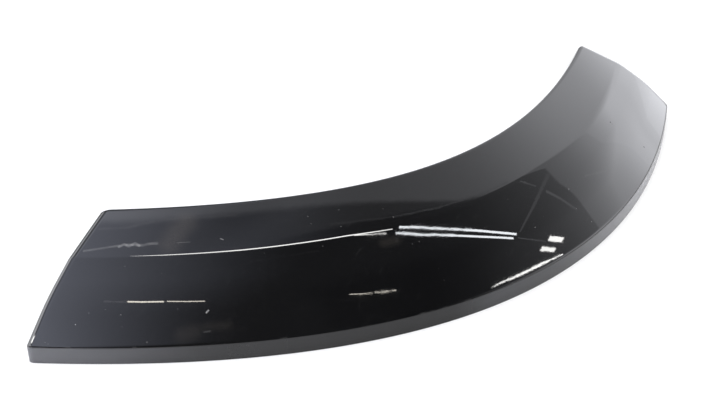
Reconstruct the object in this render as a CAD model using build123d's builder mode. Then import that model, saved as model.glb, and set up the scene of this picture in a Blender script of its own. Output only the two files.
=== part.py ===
import os
from math import cos, radians, sin, tan

from build123d import *

os.makedirs("parts", exist_ok=True)

# The trim lies face up. X runs along the arch, +Y points to the wheel, +Z points away from the car's body.
# The origin is the middle of the outer rim, on the plane where the trim meets the body.

# Outer rim line, in plan
arch_chord = 611.6
arch_rise = 134.0
arch_end_angle = 39.9
left_end_allowance = 7.9
right_end_allowance = 13.4

# Section across the arch: widths in plan, and the rise of the face from one corner to the next
end_width = 78.2
mid_width = 88.5
lip_height = 12.7
bow_share = 0.283
bow_rise = 21.6
crease_share = 0.565
crease_rise = 15.7
crest_rise = 16.2
return_tilt = 26.0
return_depth = 22.0
wall = 2.8

# Rounding along the arch: the lip and the crest on the face, the bow and the crease on the inner side of the wall
lip_radius = 3.6
crest_radius = 3.6
bow_inner_radius = 150.0
crease_inner_radius_left = 1.2
crease_inner_radius_right = 40.0

# End cuts, in degrees from the chord, with the returns behind them
left_cut_angle = 27.3
right_cut_angle = 42.5
end_edge_radius = 2.5
end_return_depth = 12.0

# Clip towers: shares of the rim line in the left half, mirrored in the right half
clip_shares = (0.12, 0.27, 0.42)
clip_inset = 25.0
tower_length = 22.0
tower_depth = 17.0
tower_wall = 1.8
seat_height = 8.0
seat_thickness = 2.2
clip_hole_diameter = 9.0
clip_slot_width = 5.6

# Ribs across the hidden side
rib_shares = (0.195, 0.345, 0.5, 0.655, 0.805)
rib_thickness = 1.6
rib_depth = 8.0

# Screw tabs on the return
tab_share = 0.385
tab_width = 20.0
tab_drop = 22.0
tab_corner_radius = 6.0
tab_hole_diameter = 6.5
tab_hole_drop = 12.0

# Number of sections that the face is drawn through
section_count = 13

# Length by which cutting outlines run past what they cut
over = 20.0


# Heights of the section's corners over the body plane
bow_height = lip_height + bow_rise
crease_height = bow_height + crease_rise
crest_height = crease_height + crest_rise

# Outer rim line: handles of this length bring its middle to the rise of the arch
handle = arch_rise / (0.75 * sin(radians(arch_end_angle)))
rim_end = Vector(-arch_chord / 2, arch_rise - wall / 2)
rim_handle = rim_end + Vector(cos(radians(arch_end_angle)), -sin(radians(arch_end_angle))) * handle
with BuildLine() as rim:
    Bezier(rim_end, rim_handle, (-rim_handle.X, rim_handle.Y), (-rim_end.X, rim_end.Y))
rim_line = rim.edge()
left_end = rim_line.position_at(left_end_allowance, position_mode=PositionMode.LENGTH)
right_end = rim_line.position_at(rim_line.length - right_end_allowance, position_mode=PositionMode.LENGTH)
left_inward = Vector(sin(radians(left_cut_angle)), -cos(radians(left_cut_angle)))
right_inward = Vector(-sin(radians(right_cut_angle)), -cos(radians(right_cut_angle)))
shares = [i / (section_count - 1) for i in range(section_count)]


# Plane of the section at a share of the rim line: its x points to the wheel, its y points up
def section_plane(share):
    along = rim_line.tangent_at(share)
    return Plane(rim_line.position_at(share), x_dir=(-along.Y, along.X, 0), z_dir=along)


# Width of the section: a parabola over the share, with its top in the middle of the arch
def section_width(share):
    return end_width + (mid_width - end_width) * 4 * share * (1 - share)


# Rounding of the section's corners from the lip to the crest: the bow and the crease go through the wall
def section_radii(share, lip, crest):
    crease_rounding = crease_inner_radius_right - crease_inner_radius_left
    crease_inner_radius = crease_inner_radius_left + crease_rounding * share
    return (lip, bow_inner_radius + wall, crease_inner_radius + wall, crest)


# Outline of the section, run past the body plane and shrunk by an inset
def section_outline(share, inset, radii=(0, 0, 0, 0)):
    width = section_width(share)
    with BuildSketch(section_plane(share)) as outline:
        with BuildLine():
            FilletPolyline(
                (0, -over),
                (0, lip_height),
                (bow_share * width, bow_height),
                (crease_share * width, crease_height),
                (width, crest_height),
                (width + (crest_height + over) * tan(radians(return_tilt)), -over),
                radius=(0, *radii, 0),
                close=True,
            )
        make_face()
        if inset:
            offset(amount=-inset, kind=Kind.INTERSECTION)
    return outline.sketch


# Block through the sections, cut at the body plane and at both ends
with BuildPart() as outer:
    loft([section_outline(share, 0, section_radii(share, lip_radius, crest_radius)) for share in shares])
    split(bisect_by=Plane.XY, keep=Keep.TOP)
    split(bisect_by=Plane(left_end, z_dir=left_inward), keep=Keep.TOP)
    split(bisect_by=Plane(right_end, z_dir=right_inward), keep=Keep.TOP)
    for inward in (left_inward, right_inward):
        end_face = outer.faces().filter_by(Plane(left_end, z_dir=inward))[0]
        fillet(end_face.edges().filter_by(lambda edge: edge.center().Z > 0), end_edge_radius)

# Ribs that follow the section, run past the inner side of the wall
with BuildPart() as ribs:
    for share in rib_shares:
        extrude(section_outline(share, 0), rib_thickness / 2, both=True)
        extrude(section_outline(share, wall + rib_depth), rib_thickness / 2, both=True, mode=Mode.SUBTRACT)

# Clip towers: three walls, and a seat with a keyhole that opens towards the wheel
with BuildPart() as towers:
    for share in clip_shares + tuple(1 - share for share in clip_shares):
        section = section_plane(share)
        seat = Plane(section.origin + section.x_dir * clip_inset, x_dir=section.z_dir, z_dir=(0, 0, 1))
        with BuildSketch(seat.offset(seat_height)):
            Rectangle(tower_length, tower_depth)
        extrude(amount=crest_height)
        with BuildSketch(seat.offset(seat_height + seat_thickness)):
            with Locations((0, tower_wall)):
                Rectangle(tower_length - 2 * tower_wall, tower_depth)
        extrude(amount=crest_height, mode=Mode.SUBTRACT)
        with BuildSketch(seat.offset(seat_height)):
            Circle(clip_hole_diameter / 2)
            with Locations((0, tower_depth / 2)):
                Rectangle(clip_slot_width, tower_depth)
        extrude(amount=seat_thickness, mode=Mode.SUBTRACT)

# Hollow behind the face: it leaves the end walls with a way through them, the ribs and the towers
with BuildPart() as hollow:
    loft([section_outline(share, wall, section_radii(share, 0, 0)) for share in shares])
    split(bisect_by=Plane(left_end + left_inward * wall, z_dir=left_inward), keep=Keep.TOP)
    split(bisect_by=Plane(right_end + right_inward * wall, z_dir=right_inward), keep=Keep.TOP)
    loft([section_outline(share, end_return_depth) for share in shares])
    add(ribs, mode=Mode.SUBTRACT)
    add(towers, mode=Mode.SUBTRACT)


# Strip below the return's rim, down its whole slope
def return_strip(share):
    crest = Vector(section_width(share), crest_height)
    down = Vector(sin(radians(return_tilt)), -cos(radians(return_tilt)))
    with BuildSketch(section_plane(share)) as strip:
        with Locations(Plane(crest + down * return_depth, x_dir=down).location):
            Rectangle(crest_height + over, 2 * end_return_depth + over, align=(Align.MIN, Align.CENTER))
    return strip.sketch


with BuildPart() as below_return:
    loft([return_strip(share) for share in shares])

# Screw tabs: flat plates that hang from the return's rim, square to Y
with BuildPart() as tabs:
    for share in (tab_share, 1 - tab_share):
        section = section_plane(share)
        rim_reach = section_width(share) + return_depth * sin(radians(return_tilt)) - wall / 2
        rim_height = crest_height - return_depth * cos(radians(return_tilt)) + wall / 2
        tab_top = section.origin + section.x_dir * rim_reach + Vector(0, 0, rim_height)
        with BuildSketch(Plane(tab_top, x_dir=(1, 0, 0), z_dir=(0, -1, 0))) as tab:
            Rectangle(tab_width, tab_drop, align=(Align.CENTER, Align.MAX))
            fillet(tab.vertices().group_by(Axis.Y)[0], tab_corner_radius)
            with Locations((0, -tab_hole_drop)):
                Circle(tab_hole_diameter / 2, mode=Mode.SUBTRACT)
        extrude(amount=wall / 2, both=True)

with BuildPart() as arch_trim:
    add(outer)
    add(hollow, mode=Mode.SUBTRACT)
    add(below_return, mode=Mode.SUBTRACT)
    add(tabs)

arch_trim.part.label = "arch_trim"
export_step(arch_trim.part, "parts/arch_trim.step")
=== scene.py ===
from math import atan2, cos, pi, radians, sin

import bpy
import numpy as np
from bpy.props import FloatProperty, FloatVectorProperty, IntProperty, PointerProperty
from mathutils import Matrix, Vector
from mathutils.bvhtree import BVHTree
from mathutils.interpolate import poly_3d_calc


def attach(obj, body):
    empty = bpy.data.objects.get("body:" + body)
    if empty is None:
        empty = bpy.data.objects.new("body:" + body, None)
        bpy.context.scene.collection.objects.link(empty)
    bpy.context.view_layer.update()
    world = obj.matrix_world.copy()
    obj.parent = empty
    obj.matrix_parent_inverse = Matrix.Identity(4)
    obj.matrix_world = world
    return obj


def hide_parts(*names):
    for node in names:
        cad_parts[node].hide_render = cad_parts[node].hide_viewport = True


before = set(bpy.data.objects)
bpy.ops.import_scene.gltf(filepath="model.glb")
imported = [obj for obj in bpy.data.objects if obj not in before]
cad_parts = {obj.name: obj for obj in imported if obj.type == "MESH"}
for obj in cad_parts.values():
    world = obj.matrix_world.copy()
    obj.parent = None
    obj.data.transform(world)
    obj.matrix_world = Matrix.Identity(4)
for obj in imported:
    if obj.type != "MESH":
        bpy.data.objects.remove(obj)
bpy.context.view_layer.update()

bl_info = {
    "name": "Wheel arch trim",
    "version": (1, 0, 0),
    "blender": (4, 5, 0),
    "location": "3D View > Sidebar > Arch trim",
    "description": "Dresses a moulded wheel arch trim in worn gloss black and sets it on a pale floor",
    "category": "Object",
}

MATERIAL = "worn_gloss_black"


# Sizes and colours

def length(name, description, default):
    """A size in metres."""
    return FloatProperty(name=name, description=description, default=default, min=0.0, unit="LENGTH",
                         precision=5)


def angle(name, description, default):
    """An angle, given in degrees."""
    return FloatProperty(name=name, description=description, default=radians(default), subtype="ANGLE")


def share(name, description, default):
    """A number from 0 to 1."""
    return FloatProperty(name=name, description=description, default=default, min=0.0, max=1.0,
                         subtype="FACTOR")


def colour(name, description, default):
    """A colour as red, green and blue from 0 to 1."""
    return FloatVectorProperty(name=name, description=description, default=default, min=0.0, max=1.0,
                               subtype="COLOR")


class ArchSizes(bpy.types.PropertyGroup):
    chord: length("Chord", "Length of the outer rim line, end to end in a straight line", 0.6116)
    rise: length("Rise", "Height of the outer rim line over its chord", 0.134)
    end_angle: angle("End angle", "Angle of the outer rim line to its chord, at its ends", 39.9)
    left_allowance: length("Left allowance", "Stretch of the rim line outside the left cut", 0.0079)
    right_allowance: length("Right allowance", "Stretch of the rim line outside the right cut", 0.0134)
    left_cut: angle("Left cut", "Angle of the left cut to the chord", 27.3)
    right_cut: angle("Right cut", "Angle of the right cut to the chord", 42.5)
    end_width: length("Width at the ends", "Width of the section in plan at the ends of the rim line", 0.0782)
    mid_width: length("Width in the middle", "Width of the section in plan in the middle of the arch", 0.0885)
    lip_height: length("Lip height", "Height of the upright lip", 0.0127)
    bow_share: share("Bow", "Place of the bow as a share of the width", 0.283)
    bow_rise: length("Rise to the bow", "Rise of the face from the lip to the bow", 0.0216)
    crease_share: share("Crease", "Place of the crease as a share of the width", 0.565)
    crease_rise: length("Rise to the crease", "Rise of the face from the bow to the crease", 0.0157)
    crest_rise: length("Rise to the crest", "Rise of the face from the crease to the crest", 0.0162)
    return_tilt: angle("Return tilt", "Lean of the return from upright", 26.0)
    return_depth: length("Return depth", "Depth of the return below the crest", 0.022)
    wall: length("Wall", "Thickness of the wall", 0.0028)
    lip_radius: length("Lip radius", "Rounding over the lip", 0.0036)
    crest_radius: length("Crest radius", "Rounding of the crest", 0.0036)
    bow_radius: length("Bow radius", "Rounding of the bow on the inner side of the wall", 0.15)
    crease_left: length("Crease radius, left", "Inner rounding of the crease at the left end", 0.0012)
    crease_right: length("Crease radius, right", "Inner rounding of the crease at the right end", 0.04)
    edge_reach: length("End edge reach", "Reach of the end roundings over the face", 0.0055)
    left_edge_depth: length("Left edge depth", "Depth of the left end's rounding on the cut", 0.0032)
    right_edge_depth: length("Right edge depth", "Depth of the right end's rounding on the cut", 0.0023)
    end_return: length("End return", "Depth of the wall that turns in at both ends", 0.012)
    steps: IntProperty(name="Steps", description="Steps of the face along the arch", default=260, min=40)


class BackSizes(bpy.types.PropertyGroup):
    rib_thickness: length("Rib thickness", "Thickness of the ribs behind the face", 0.0016)
    rib_depth: length("Rib depth", "Depth of the ribs below the wall", 0.008)
    clip_inset: length("Clip inset", "Distance of the clip seats from the outer rim line", 0.025)
    tower_length: length("Tower length", "Size of the clip towers along the arch", 0.022)
    tower_depth: length("Tower depth", "Size of the clip towers across the arch", 0.017)
    tower_wall: length("Tower wall", "Thickness of the walls of the clip towers", 0.0018)
    seat_height: length("Seat height", "Height of the clip seats over the body plane", 0.008)
    seat_thickness: length("Seat thickness", "Thickness of the clip seats", 0.0022)
    clip_hole: length("Clip hole", "Diameter of the round end of the keyholes", 0.009)
    clip_slot: length("Clip slot", "Width of the slots of the keyholes", 0.0056)
    tab_width: length("Tab width", "Width of the screw tabs", 0.02)
    tab_drop: length("Tab drop", "Drop of the screw tabs below the rim of the return", 0.022)
    tab_radius: length("Tab corner radius", "Rounding of the lower corners of the screw tabs", 0.006)
    tab_hole: length("Tab hole", "Diameter of the screw holes", 0.0065)
    tab_hole_drop: length("Tab hole drop", "Drop of the screw holes below the rim of the return", 0.012)


class Finish(bpy.types.PropertyGroup):
    black: colour("Black", "Colour of the moulded plastic", (0.002, 0.002, 0.0022))
    # Dust colour; it also paints one highlight among the scuff marks
    dust: colour("Dust", "Colour of dust, specks and scuffs", (0.42, 0.41, 0.39))
    # Pale colour that paints light onto the lip towards its ends
    painted_light_colour: colour("Haze", "Colour of the bloom on the lip", (0.25, 0.25, 0.262))
    grime: colour("Grime", "Colour of the greasy smudges", (0.155, 0.135, 0.11))
    gloss: share("Gloss", "Roughness of the clean face", 0.015)
    satin: share("Satin", "Roughness of the hidden side as it left the mould", 0.36)
    peel: length("Orange peel", "Height of the ripple in the gloss", 0.00001)
    grain: length("Grain", "Height of the grain on the hidden side", 0.00003)


class StageLook(bpy.types.PropertyGroup):
    floor: colour("Floor", "Colour of the floor", (0.8, 0.8, 0.8))
    floor_reach: length("Floor reach", "Distance from the middle of the floor to its edges", 6.0)
    ceiling_height: length("Ceiling height", "Height of the glowing ceiling", 1.8)
    lamp_height: length("Lamp height", "Height of the tube lamps below the ceiling", 1.78)
    lens: FloatProperty(name="Lens", description="Focal length", default=59.052, unit="CAMERA")
    sensor: FloatProperty(name="Sensor", description="Width of the sensor", default=36.0, unit="CAMERA")
    heading: angle("Heading", "Direction in which the camera looks, from the X axis", 53.638)
    pitch: angle("Pitch", "Angle by which the camera looks down", 30.406)
    place: FloatVectorProperty(name="Place", description="Place of the camera", subtype="TRANSLATION",
                               default=(-0.478455, -0.464752, 0.457364))


RIB_SHARES = (0.195, 0.345, 0.5, 0.655, 0.805)
CLIP_SHARES = (0.12, 0.27, 0.42, 0.58, 0.73, 0.88)
TAB_SHARES = (0.385, 0.615)

# The section from the foot of the lip to the rim of the return: a line, a corner, a line and so on
LIP, LIP_CORNER, LOWER, BOW, MIDDLE, CREASE, UPPER, CREST, RETURN = range(9)
SECTION_STEPS = (4, 10, 14, 16, 10, 14, 22, 10, 8)
# Which of its four corners are left sharp
ROUNDED = (False, False, False, False)
HOLLOW = (True, False, False, True)
MITRED = (True, True, True, True)

# Share of the way to its inner control points at which a cubic curve has its middle
MIDDLE_PULL = 0.75
RIM_STEPS = 8000
# Step along the rim line over which the run of a row is read
NUDGE = 1e-4
# Shares of the rim line that lie well inside the left and the right cut
WELL_INSIDE = (0.4, 0.6)
HALVINGS = 44
FILLET_STEPS, CUT_STEPS = 8, 4
# The left and the right end, as the values of right
SIDES = (False, True)
X_AXIS, Y_AXIS, UP = np.eye(3)
DOWN = np.array([0.0, 0.0, -1.0])


# Rim line and section

def unit(vectors):
    """The same directions, 1 long."""
    return vectors / np.linalg.norm(vectors, axis=-1, keepdims=True)


class Arch:
    """Form of the trim in plan and section, worked out from its sizes."""

    def __init__(self, sizes):
        self.z = sizes
        handle = sizes.rise / (MIDDLE_PULL * sin(sizes.end_angle))
        first = np.array([-sizes.chord / 2, sizes.rise - sizes.wall / 2])
        second = first + handle * np.array([cos(sizes.end_angle), -sin(sizes.end_angle)])
        mirror = np.array([-1.0, 1.0])
        self.controls = (first, second, second * mirror, first * mirror)
        self.table = np.linspace(0.0, 1.0, RIM_STEPS + 1)
        points = self.bezier(self.table)[0]
        run = np.concatenate([[0.0], np.cumsum(np.linalg.norm(np.diff(points, axis=0), axis=1))])
        self.length = run[-1]
        self.run = run / run[-1]
        self.left_end = self.rim(np.array(sizes.left_allowance / self.length))[0]
        self.right_end = self.rim(np.array(1 - sizes.right_allowance / self.length))[0]
        self.left_in = np.array([sin(sizes.left_cut), -cos(sizes.left_cut)])
        self.right_in = np.array([-sin(sizes.right_cut), -cos(sizes.right_cut)])
        self.down = np.array([sin(sizes.return_tilt), -cos(sizes.return_tilt)])
        self.heights = np.cumsum([sizes.lip_height, sizes.bow_rise, sizes.crease_rise, sizes.crest_rise])

    def bezier(self, t):
        """Cubic curve drawn by four control points: the point and its unit tangent at t from 0 to 1."""
        a, b, c, d = self.controls
        t = np.asarray(t, float)[..., None]
        s = 1 - t
        point = s**3 * a + 3 * s * s * t * b + 3 * s * t * t * c + t**3 * d
        return point, unit(s * s * (b - a) + 2 * s * t * (c - b) + t * t * (d - c))

    def rim(self, at):
        """Point, tangent and normal to the wheel at a share of the rim line's length."""
        point, along = self.bezier(np.interp(at, self.run, self.table))
        return point, along, np.stack([-along[..., 1], along[..., 0]], -1)

    def width(self, at):
        """Parabola over the share, with its top in the middle of the arch."""
        return self.z.end_width + (self.z.mid_width - self.z.end_width) * 4 * at * (1 - at)

    def corners(self, at):
        """Corners of the section before rounding, with the direction and outward normal of each line."""
        wide = self.width(at)
        nil = np.zeros_like(wide)
        lip, bow, crease, crest = self.heights
        reach = (nil, nil, self.z.bow_share * wide, self.z.crease_share * wide, wide)
        rise = (nil, nil + lip, nil + bow, nil + crease, nil + crest)
        points = [np.stack(pair, -1) for pair in zip(reach, rise)]
        points.append(points[4] + self.z.return_depth * self.down)
        along = [unit(points[i + 1] - points[i]) for i in range(5)]
        out = [np.stack([-a[..., 1], a[..., 0]], -1) for a in along]
        return points, along, out

    def radii(self, at):
        """Radii of the four corners on the outside. The crease's grows evenly from the left to the right."""
        crease = self.z.crease_left + (self.z.crease_right - self.z.crease_left) * at
        nil = np.zeros_like(at)
        return (nil + self.z.lip_radius, nil + self.z.bow_radius + self.z.wall, crease + self.z.wall,
                nil + self.z.crest_radius)

    def section(self, rows, at, inset=0.0, sharp=ROUNDED):
        """Point (reach, height) and outward normal of rows of the section at shares of the rim line.

        A row is a line or a corner and a place on it. All lines are moved in by the inset. A rounded corner
        is an arc about a fixed centre, with its radius less the inset. A sharp corner is where the moved
        lines meet.
        """
        piece, place, at = np.broadcast_arrays(rows[0], rows[1], at)
        points, along, out = self.corners(at)
        radii = self.radii(at)
        stops, starts, arcs = [], [points[0] - inset * out[0]], []
        for i in range(4):
            corner, before, after = points[i + 1], out[i], out[i + 1]
            dot = (before * after).sum(-1, keepdims=True)
            turn = np.arccos(np.clip(dot, -1, 1))
            normal = np.cos(turn * place[..., None]) * before + np.sin(turn * place[..., None]) * along[i]
            if sharp[i]:
                meet = corner - inset * (before + after) / (1 + dot)
                stops.append(meet)
                starts.append(meet)
                arcs.append((meet, normal))
            else:
                radius = radii[i][..., None]
                back = radius * np.tan(turn / 2)
                centre = corner - along[i] * back - before * radius
                stops.append(corner - along[i] * back - inset * before)
                starts.append(corner + along[i + 1] * back - inset * after)
                arcs.append((centre + (radius - inset) * normal, normal))
        stops.append(points[5] - inset * out[4])
        spots, normals = np.zeros(at.shape + (2,)), np.zeros(at.shape + (2,))
        for i in range(len(SECTION_STEPS)):
            here = piece == i
            k = i // 2
            if i % 2:
                spots[here], normals[here] = arcs[k][0][here], arcs[k][1][here]
            else:
                line = starts[k] + (stops[k] - starts[k]) * place[..., None]
                spots[here], normals[here] = line[here], out[k][here]
        return spots, normals

    def lift(self, at, spots):
        """Section points set up on the rim line: reach to the wheel in plan, height upright."""
        point, _, side = self.rim(at)
        return np.concatenate([point + side * spots[..., :1], spots[..., 1:]], -1)

    def swing(self, at, normals):
        """Section normals turned to the rim line."""
        side = self.rim(at)[2]
        return np.concatenate([side * normals[..., :1], normals[..., 1:]], -1)

    def surface(self, rows, at):
        """Point and outward normal of the face: the section's normal, turned square to the run of its row."""
        point = self.lift(at, self.section(rows, at)[0])
        forward = unit(self.lift(at + NUDGE, self.section(rows, at + NUDGE)[0]) - point)
        out = self.swing(at, self.section(rows, at)[1])
        return point, unit(out - (out * forward).sum(-1, keepdims=True) * forward)

    def end_share(self, rows, inset, sharp, right, gap):
        """Share at which each row lies a gap inside an end cut, by halving an interval for all rows."""
        end, inward = (self.right_end, self.right_in) if right else (self.left_end, self.left_in)
        outer = np.full(len(rows[0]), 1.0 if right else 0.0)
        inner = np.full(len(rows[0]), WELL_INSIDE[right])
        for _ in range(HALVINGS):
            middle = (outer + inner) / 2
            spots = self.lift(middle, self.section(rows, middle, inset, sharp)[0])
            inside = (spots[:, :2] - end) @ inward > gap
            inner = np.where(inside, middle, inner)
            outer = np.where(inside, outer, middle)
        return (outer + inner) / 2

    def locate(self, plan):
        """Share and reach of points in plan, from the nearest of the rim line's normals."""
        point, along = self.bezier(self.table)
        off = plan[:, None, :] - point[None]
        ahead = np.abs((off * along[None]).sum(-1))
        near = ahead.argmin(1)
        side = np.stack([-along[near, 1], along[near, 0]], -1)
        return self.run[near], ((plan - point[near]) * side).sum(-1)

    def height(self, plan, inset):
        """Height of the section, moved in by the inset and left sharp, over points in plan."""
        at, reach = self.locate(plan)
        corners = np.array([LIP_CORNER, BOW, CREASE, CREST])[:, None]
        shares = np.broadcast_to(at, (len(corners), len(at)))
        spots = self.section((corners, np.zeros_like(corners, float)), shares, inset, MITRED)[0]
        return np.array([np.interp(r, spots[:, i, 0], spots[:, i, 1]) for i, r in enumerate(reach)])


def section_rows(first=LIP, last=RETURN):
    """Lines and corners of the section from first to last, and the places on them, as two arrays."""
    pieces = np.concatenate([np.full(n, i) for i, n in enumerate(SECTION_STEPS) if first <= i <= last])
    places = np.concatenate([np.arange(n) / n for i, n in enumerate(SECTION_STEPS) if first <= i <= last])
    return np.append(pieces, last), np.append(places, 1.0)


def column(rows):
    """Rows set upright, to go with a grid of shares."""
    return rows[0][:, None], rows[1][:, None]


def shares_between(ends, steps):
    """Shares of the rim line for each row, in even steps from its left to its right end."""
    return ends[0][:, None] + (ends[1] - ends[0])[:, None] * np.linspace(0.0, 1.0, steps + 1)


# Meshes

MICROMETRES = 1e6
WEIGHTS = ("edge", "hidden")


def quads(grid):
    """The four corners of each cell of a grid of vectors."""
    corners = (grid[:-1, :-1], grid[:-1, 1:], grid[1:, 1:], grid[1:, :-1])
    return np.stack(corners, 2).reshape(-1, 4, grid.shape[-1])


def windings(corners):
    """Vectors square to cells: the cross products of their diagonals."""
    return np.cross(corners[:, 2] - corners[:, 0], corners[:, 3] - corners[:, 1])


def patch(points, normals, edge=0.0, hidden=0.0):
    """Cells of a grid of points, each wound so that it faces the way its normals point.

    Each corner has a weight for lying on an edge, where wear comes first, and one for lying on the hidden
    side.
    """
    corners, facing = quads(points), quads(np.broadcast_to(normals, points.shape)).copy()
    weights = [np.broadcast_to(weight, points.shape[:2]) for weight in (edge, hidden)]
    weights = quads(np.stack(weights, -1))
    turned = (windings(corners) * facing.mean(1)).sum(-1) < 0
    for array in (corners, facing, weights):
        array[turned] = array[turned][:, ::-1]
    return corners, facing, weights


def flat_patch(points, towards):
    """Cells of a grid of points on the hidden side, each with a flat normal turned to a rough direction."""
    corners = quads(points)
    winding = windings(corners)
    turned = (winding * quads(np.broadcast_to(towards, points.shape)).mean(1)).sum(-1) < 0
    corners[turned] = corners[turned][:, ::-1]
    winding[turned] *= -1
    size = np.linalg.norm(winding, axis=-1, keepdims=True)
    flat = winding / np.where(size > 0, size, 1)
    return corners, np.repeat(flat[:, None], 4, 1), np.broadcast_to((0.0, 1.0), corners.shape[:2] + (2,))


def build(name, patches, material):
    """One closed mesh from patches.

    Corners within a micrometre are one vertex, and cells that lost corners are triangles or go.
    """
    corners, facing, weights = (np.concatenate(parts) for parts in zip(*patches))
    corners = corners.reshape(-1, 3)
    keys = np.round(corners * MICROMETRES).astype(np.int64)
    _, first, ids = np.unique(keys, axis=0, return_index=True, return_inverse=True)
    ids = ids.reshape(-1, 4)
    same = ids == np.roll(ids, -1, 1)
    opposite = (ids[:, 0] == ids[:, 2]) | (ids[:, 1] == ids[:, 3])
    whole = ~same.any(1) & ~opposite
    third = (same.sum(1) == 1) & ~opposite
    keep = ~same[third]
    faces = ids[whole].tolist() + ids[third][keep].reshape(-1, 3).tolist()
    normals = np.concatenate([facing[whole].reshape(-1, 3), facing[third][keep]])
    weights = np.concatenate([weights[whole].reshape(-1, 2), weights[third][keep]])
    mesh = bpy.data.meshes.new(name)
    mesh.from_pydata(corners[first].tolist(), [], faces)
    mesh.polygons.foreach_set("use_smooth", np.ones(len(faces), bool))
    mesh.normals_split_custom_set(unit(normals).tolist())
    for i, weight in enumerate(WEIGHTS):
        layer = mesh.attributes.new(weight, "FLOAT", "CORNER")
        layer.data.foreach_set("value", weights[:, i].astype(np.float32))
    mesh.materials.append(material)
    if mesh.validate():
        raise RuntimeError(name + " has faulty faces")
    piece = bpy.data.objects.new(name, mesh)
    bpy.context.scene.collection.objects.link(piece)
    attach(piece, "root")
    return piece


def end_shares(arch, rows, right):
    """Shares of the rim line at which the face gives way to an end's rounding, row by row."""
    return arch.end_share(rows, 0.0, ROUNDED, right, arch.z.edge_reach)


def face_grid(arch):
    """The face between its two end roundings: its points and its normals."""
    rows = section_rows()
    ends = [end_shares(arch, rows, right) for right in SIDES]
    return arch.surface(column(rows), shares_between(ends, arch.z.steps))


def arcs_between(first, second, steps):
    """Vectors turned evenly from the first to the second, for each row and step."""
    spread = np.arccos(np.clip((unit(first) * unit(second)).sum(-1), -1, 1))[:, None, None]
    step = steps[None, :, None]
    turned = np.sin((1 - step) * spread) * first[:, None] + np.sin(step * spread) * second[:, None]
    return turned / np.sin(spread)


def end_rounding(arch, rows, right, steps):
    """Rounding between the face and an end cut: shares of the rim line, points and normals.

    Each row is a quarter of an ellipse. It leaves the face at the rounding's reach from the cut, and it meets
    the cut at the rounding's depth below the face. The rows about the corners over the lip and at the crest
    meet there.
    """
    depth = arch.z.right_edge_depth if right else arch.z.left_edge_depth
    at = end_shares(arch, rows, right)
    start, normal = arch.surface(rows, at)
    corner = arch.surface(rows, arch.end_share(rows, 0.0, ROUNDED, right, 0.0))[0]
    low = arch.end_share(rows, depth, HOLLOW, right, 0.0)
    foot = arch.lift(low, arch.section(rows, low, depth, HOLLOW)[0])
    rise, onward = (corner - foot)[:, None], (corner - start)[:, None]
    turn = steps[None, :, None] * pi / 2
    points = (start + foot - corner)[:, None] + np.cos(turn) * rise + np.sin(turn) * onward
    heading = unit(np.cos(turn) * onward - np.sin(turn) * rise)
    outward = np.append(-arch.right_in if right else -arch.left_in, 0.0)
    normals = arcs_between(normal, np.broadcast_to(outward, normal.shape), steps)
    return at, points, unit(normals - (normals * heading).sum(-1, keepdims=True) * heading)


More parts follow.
